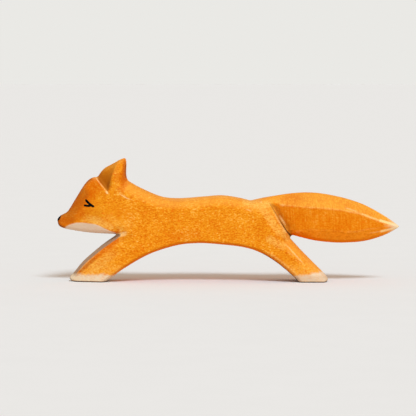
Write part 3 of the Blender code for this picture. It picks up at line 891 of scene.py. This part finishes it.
@dataclass
class CarvedFox:
    """The wood itself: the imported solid, with the fine marks of knife and sandpaper, stained and painted."""

    merge: float = 0.001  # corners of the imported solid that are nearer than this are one
    grain: float = 0.42  # spacing of the mesh
    polishing: int = 2  # rounds of smoothing, each of this strength
    polish: float = 0.5
    waves: float = 0.05  # depth of what the sandpaper left uneven
    wave_size: Triple = (7.0, 9.0, 4.2)
    sunk: float = 0.5  # share of that depth by which all of it is let in, to stay in the solid's box
    chatter: float = 0.025  # depth of the knife's marks
    chatter_pitch: float = 2.2 / 1.3  # radians to a millimetre of X - Z
    chatter_bend: float = 3.0  # radians by which the waves shift them
    chatter_patch: float = 3.0  # size of the patches in which they come and go
    chatter_shift: float = 40.0  # keeps those apart from the waves
    haunch: Zone = Zone(x=((4.0, 12.0), (27.0, 20.0)), z=((12.0, 20.0),))
    tail_root: Zone = Zone(x=((19.0, 22.0), (42.0, 30.0)))
    sole: Span = (0.35, 1.85)  # the heights between which the marks set in
    wear_reach: int = 12  # rounds of smoothing that give the surface without its ridges
    ridges: Span = (0.05, 0.115)  # how far they stand out from it
    creases: Span = (0.02, 0.10)  # how far a crease lies under it
    creased: Zone = Zone(x=((8.0, 14.0),), z=((15.0, 19.0),))
    side_lean: Span = (0.85, 0.7)  # the sandpaper reached only what looks up or down less than this
    brushwork: Brushwork = field(default_factory=Brushwork)
    finish: StainedWood = field(default_factory=StainedWood)

    def merged_solid(self) -> Object:
        """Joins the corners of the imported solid's loose triangles.

        Returns:
            The joined copy.
        """
        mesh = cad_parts[SOLID].data.copy()
        mesh.materials.clear()
        bm = bmesh.new()
        bm.from_mesh(mesh)
        bmesh.ops.remove_doubles(bm, verts=bm.verts, dist=self.merge * MM)
        bm.to_mesh(mesh)
        bm.free()
        return linked(bpy.data.objects.new("merged_solid", mesh))

    def fine_mesh(self, solid: Object) -> Object:
        """An even mesh on the solid, fine enough for the marks.

        Args:
            solid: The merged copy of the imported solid.

        Returns:
            A new object on the solid's surface.
        """
        fox = linked(bpy.data.objects.new("stained_fox", solid.data.copy()))
        remesh = fox.modifiers.new("even", "REMESH")
        remesh.mode = "VOXEL"
        remesh.voxel_size = self.grain * MM
        wrap = fox.modifiers.new("wrap", "SHRINKWRAP")
        wrap.target = solid
        polish = fox.modifiers.new("polish", "SMOOTH")
        polish.factor = self.polish
        polish.iterations = self.polishing
        return applied(fox)

    def tool_marks(self, fox: Object) -> None:
        """Moves the surface in and out a little, as sandpaper and knife leave it.

        Args:
            fox: The fine mesh, which is changed.
        """
        co, normals = corners(fox), corner_normals(fox)
        points = co[:, [0, 2]]
        waves = noise_at(co / self.wave_size)
        phase = self.chatter_pitch * (points[:, 0] - points[:, 1]) + self.chatter_bend * waves
        ripples = np.sin(phase) * noise_at(co / self.chatter_patch + self.chatter_shift)
        knifed = np.maximum(self.haunch.share(points), self.tail_root.share(points))
        depth = self.waves * (waves - self.sunk) + self.chatter * ripples * knifed
        depth *= eased(points[:, 1], *self.sole)
        move_corners(fox, co + normals * depth[:, None])

    def wear(self, fox: Object) -> dict[Mark, np.ndarray]:
        """Measures how sharply the surface turns at each corner, and which way it looks.

        Args:
            fox: The fine mesh.

        Returns:
            A share for each corner, by mark.
        """
        co, normals = corners(fox), corner_normals(fox)
        points, up = co[:, [0, 2]], normals[:, 2]
        edges = np.empty(len(fox.data.edges) * 2, np.int32)
        fox.data.edges.foreach_get("vertices", edges)
        first, second = edges.reshape(-1, 2).T
        count = np.bincount(edges, minlength=len(co))[:, None]

        def spread(values: np.ndarray) -> np.ndarray:
            """Averages over each corner's neighbours.

            Args:
                values: A row for each corner.

            Returns:
                The neighbours' mean, in a row for each corner.
            """
            total = np.zeros_like(values)
            for axis in range(values.shape[1]):
                total[:, axis] += np.bincount(first, values[second, axis], len(values))
                total[:, axis] += np.bincount(second, values[first, axis], len(values))
            return total / count

        smooth = co
        for _ in range(self.wear_reach):
            smooth = (smooth + spread(smooth)) / 2
        proud = ((co - smooth) * normals).sum(axis=1, keepdims=True)
        proud = spread(proud)[:, 0]
        sanded = self.brushwork.sanded(points) * eased(np.abs(up), *self.side_lean)
        return {
            Mark.RIDGE: eased(proud, *self.ridges) * sanded,
            Mark.CREASE: eased(-proud, *self.creases) * self.creased.share(points),
            Mark.UPWARD: np.clip(up, 0, 1),
            Mark.DOWNWARD: np.clip(-up, 0, 1),
        }

    def build(self) -> Object:
        """Builds the piece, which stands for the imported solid.

        Returns:
            The piece.
        """
        solid = self.merged_solid()
        fox = self.fine_mesh(solid)
        bpy.data.objects.remove(solid)
        self.tool_marks(fox)
        marks = self.wear(fox) | self.brushwork.marks(corners(fox)[:, [0, 2]])
        for mark, values in marks.items():
            store(fox, mark, values)
        fox.data.materials.append(self.finish.material("stained_maple"))
        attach(fox, BODY)
        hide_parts(SOLID)
        return fox


class Side(Enum):
    """A side of the fox, by the sign of Y that its surface is on."""

    NEAR = -1
    FAR = 1


@dataclass
class ClosedEye:
    """Two brush strokes that meet behind the eye. Each lies on the wood, a little proud of it."""

    lash: Path = ((-62.5, 36.2), (-61.1, 34.7), (-59.9, 33.7), (-58.5, 33.0))
    lash_width: tuple[float, float] = (0.54, 0.57)  # half its width, at its start and its end
    lid: Path = ((-63.2, 33.65), (-61.9, 33.45), (-60.9, 33.4), (-59.9, 33.45))
    lid_width: tuple[float, float] = (0.48, 0.5)
    spacing: float = 0.12  # between a stroke's points
    round_end: float = 0.2  # share of a stroke's length that each rounded end takes
    blunt: float = 0.02  # share of a stroke's width, squared, that is left at its very end
    sides: int = 12  # faces round a stroke
    paint: float = 0.16  # thickness of the stroke, for each unit of its width
    reach: float = 40.0  # from where the brush is aimed at the wood

    def strokes(self) -> Object:
        """Draws the two strokes in the plane Y = 0, each point with its half width.

        Returns:
            The curves.
        """
        curve = bpy.data.curves.new("eye_strokes", "CURVE")
        curve.dimensions = "3D"
        for path, (start, end) in ((self.lash, self.lash_width), (self.lid, self.lid_width)):
            line = smooth_path(path, self.spacing)
            spline = curve.splines.new("POLY")
            spline.points.add(len(line) - 1)
            for index, (point, (x, z)) in enumerate(zip(spline.points, line)):
                share = index / (len(line) - 1)
                to_end = max(0.0, 1 - min(share, 1 - share) / self.round_end)
                point.co = (x * MM, 0, z * MM, 1)
                point.radius = (start + (end - start) * share) * math.sqrt(max(self.blunt, 1 - to_end**2))
        return linked(bpy.data.objects.new("eye_strokes", curve))

    def tree(self) -> bpy.types.NodeTree:
        """Sets up the nodes that sweep the strokes, squash them flat and lay them on the wood.

        Returns:
            The nodes' tree.
        """
        tree = bpy.data.node_groups.new("paint_on_wood", "GeometryNodeTree")
        inputs = {"Strokes": "Geometry", "Wood": "Object", "Side": "Float", "Flatness": "Float"}
        inputs |= {"Reach": "Float", "Sides": "Int", "Paint": "Material"}
        for name, kind in inputs.items():
            tree.interface.new_socket(name, in_out="INPUT", socket_type=f"NodeSocket{kind}")
        tree.interface.new_socket("Mesh", in_out="OUTPUT", socket_type="NodeSocketGeometry")
        graph = Graph(tree)
        given = graph.node("NodeGroupInput", {}, {}).outputs
        side, reach = Field(graph, given["Side"]), Field(graph, given["Reach"])
        circle = {"Resolution": given["Sides"], "Radius": MM}
        ring = graph.node("GeometryNodeCurvePrimitiveCircle", {}, circle)
        sweep = {
            "Curve": given["Strokes"],
            "Profile Curve": ring.outputs["Curve"],
            "Scale": graph.node("GeometryNodeInputRadius", {}, {}).outputs["Radius"],
            "Fill Caps": True,
        }
        swept = graph.node("GeometryNodeCurveToMesh", {}, sweep).outputs["Mesh"]
        place = graph.node("GeometryNodeInputPosition", {}, {}).outputs["Position"]
        x, y, z = (graph.part(place, axis) for axis in "XYZ")
        wood = graph.node("GeometryNodeObjectInfo", {}, {"Object": given["Wood"]}).outputs["Geometry"]
        brush = {
            "Target Geometry": wood,
            "Source Position": graph.vector(X=x, Y=side * reach, Z=z),
            "Ray Direction": graph.vector(Y=side * -1.0),
            "Ray Length": reach,
        }
        hit = graph.node("GeometryNodeRaycast", {}, brush).outputs["Hit Position"]
        laid = graph.vector(X=x, Y=graph.part(hit, "Y") + y * Field(graph, given["Flatness"]), Z=z)
        moved = graph.node("GeometryNodeSetPosition", {}, {"Geometry": swept, "Position": laid})
        real = graph.node("GeometryNodeRealizeInstances", {}, {"Geometry": moved.outputs["Geometry"]})
        dress = {"Geometry": real.outputs["Geometry"], "Material": given["Paint"]}
        dressed = graph.node("GeometryNodeSetMaterial", {}, dress)
        graph.node("NodeGroupOutput", {}, {0: dressed.outputs["Geometry"]})
        return tree

    def build(self, fox: Object, paint: Material) -> list[Object]:
        """Builds the eye of each side.

        Args:
            fox: The wood that the strokes lie on.
            paint: Their finish.

        Returns:
            The two pieces.
        """
        tree = self.tree()
        identifiers = {socket.name: socket.identifier for socket in tree.interface.items_tree}
        made = []
        for side in Side:
            eye = self.strokes()
            eye.name = f"eye_{side.name.lower()}"
            modifier = eye.modifiers.new("paint", "NODES")
            modifier.node_group = tree
            inputs = {"Wood": fox, "Side": float(side.value), "Flatness": self.paint}
            inputs |= {"Reach": self.reach * MM, "Sides": self.sides, "Paint": paint}
            for name, value in inputs.items():
                modifier[identifiers[name]] = value
            eye = applied(eye)
            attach(eye, BODY)
            made.append(eye)
        return made


@dataclass
class Nose:
    """Black paint on the end of the snout: the part of a slightly swollen snout that is inside an egg."""

    centre: Triple = (-75.4, 0.0, 28.1)
    radii: Triple = (2.3, 4.0, 1.9)
    facets: tuple[int, int] = (48, 32)  # round the egg and from top to bottom
    proud: float = 0.04  # thickness of the paint

    def egg(self) -> Object:
        """Makes the egg that the paint's edge follows.

        Returns:
            The egg.
        """
        mesh = bpy.data.meshes.new("egg")
        bm = bmesh.new()
        around, down = self.facets
        bmesh.ops.create_uvsphere(bm, u_segments=around, v_segments=down, radius=MM)
        bmesh.ops.scale(bm, vec=self.radii, verts=bm.verts)
        bmesh.ops.translate(bm, vec=Vector(self.centre) * MM, verts=bm.verts)
        bm.to_mesh(mesh)
        bm.free()
        return linked(bpy.data.objects.new("egg", mesh))

    def build(self, fox: Object, paint: Material) -> Object:
        """Builds the piece.

        Args:
            fox: The wood that the paint lies on.
            paint: Its finish.

        Returns:
            The piece.
        """
        nose = linked(bpy.data.objects.new("nose", fox.data.copy()))
        nose.data.materials.clear()
        for mark in Mark:
            nose.data.attributes.remove(nose.data.attributes[mark.value])
        move_corners(nose, corners(nose) + corner_normals(nose) * self.proud)
        egg = self.egg()
        cut = nose.modifiers.new("cut", "BOOLEAN")
        cut.operation = "INTERSECT"
        cut.object = egg
        nose = applied(nose)
        bpy.data.objects.remove(egg)
        nose.data.materials.clear()
        nose.data.materials.append(paint)
        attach(nose, BODY)
        return nose


@dataclass
class Studio:
    """A wide paper floor, soft light from above the front, and the camera. Its lengths are in metres."""

    floor_radius: float = 40.0
    floor_sides: int = 96
    wall: Colour = (0.822, 0.815, 0.785, 1.0)  # the surround low down, as pale as the lit floor
    ceiling: Colour = (0.59, 0.49, 0.40, 1.0)  # and overhead
    wall_top: Span = (0.16, 0.34)  # between these heights on a unit sphere it turns
    lamp_strength: float = 2.56
    lamp_colour: Triple = (0.745, 0.888, 1.0)
    lamp_from: Triple = (0.3, -1.0, 1.0)
    lamp_spread: float = 18.0  # degrees across
    target: Triple = (-0.00896, 0.0, 0.0321)
    distance: float = 1.08
    elevation: float = 3.0  # degrees
    lens: float = 212.9  # millimetres
    nearest: float = 0.05  # the camera sees from here
    farthest: float = 100.0  # to here
    finish: PalePaper = field(default_factory=PalePaper)

    def floor(self) -> None:
        """The floor, which ends too far off to be seen."""
        mesh = bpy.data.meshes.new("floor")
        bm = bmesh.new()
        bmesh.ops.create_circle(bm, cap_ends=True, segments=self.floor_sides, radius=self.floor_radius)
        bm.to_mesh(mesh)
        bm.free()
        mesh.materials.append(self.finish.material("pale_paper"))
        floor = linked(bpy.data.objects.new("floor", mesh))

    def light(self) -> None:
        """A pale surround, warmer and dimmer overhead, and one large lamp."""
        world = bpy.data.worlds.new("surround")
        bpy.context.scene.world = world
        world.use_nodes = True
        graph = Graph(world.node_tree)
        height = graph.part(graph.node("ShaderNodeTexCoord", {}, {}).outputs["Generated"], "Z")
        colour = graph.blend(height.above(*self.wall_top), self.wall, self.ceiling)
        graph.fill(world.node_tree.nodes["Background"], {"Color": colour})
        lamp = bpy.data.lights.new("soft_lamp", "SUN")
        lamp.energy = self.lamp_strength
        lamp.color = self.lamp_colour
        lamp.angle = math.radians(self.lamp_spread)
        obj = linked(bpy.data.objects.new("soft_lamp", lamp))
        obj.rotation_euler = Vector(self.lamp_from).to_track_quat("Z", "Y").to_euler()

    def camera(self) -> None:
        """The camera, a long way off with a long lens."""
        camera = linked(bpy.data.objects.new("camera", bpy.data.cameras.new("camera")))
        camera.data.lens = self.lens
        tilt = math.radians(self.elevation)
        back = Vector((0.0, -math.cos(tilt), math.sin(tilt)))
        camera.location = Vector(self.target) + back * self.distance
        camera.rotation_euler = back.to_track_quat("Z", "Y").to_euler()
        camera.data.clip_start = self.nearest
        camera.data.clip_end = self.farthest
        bpy.context.scene.camera = camera
        bpy.context.scene.view_settings.view_transform = "Standard"

    def build(self) -> None:
        """Builds everything that isn't the fox."""
        self.floor()
        self.light()
        self.camera()


def main() -> None:
    """Builds the fox and its studio."""
    logging.basicConfig(level=logging.INFO, format="%(name)s: %(message)s")
    fox = CarvedFox().build()
    log.info("%s: %d faces", fox.name, len(fox.data.polygons))
    paint = BlackPaint().material("black_paint")
    for piece in (*ClosedEye().build(fox, paint), Nose().build(fox, paint)):
        log.info("%s: %d faces", piece.name, len(piece.data.polygons))
    Studio().build()
    log.info("studio: floor, lamp and camera")


if __name__ == "__main__":
    main()
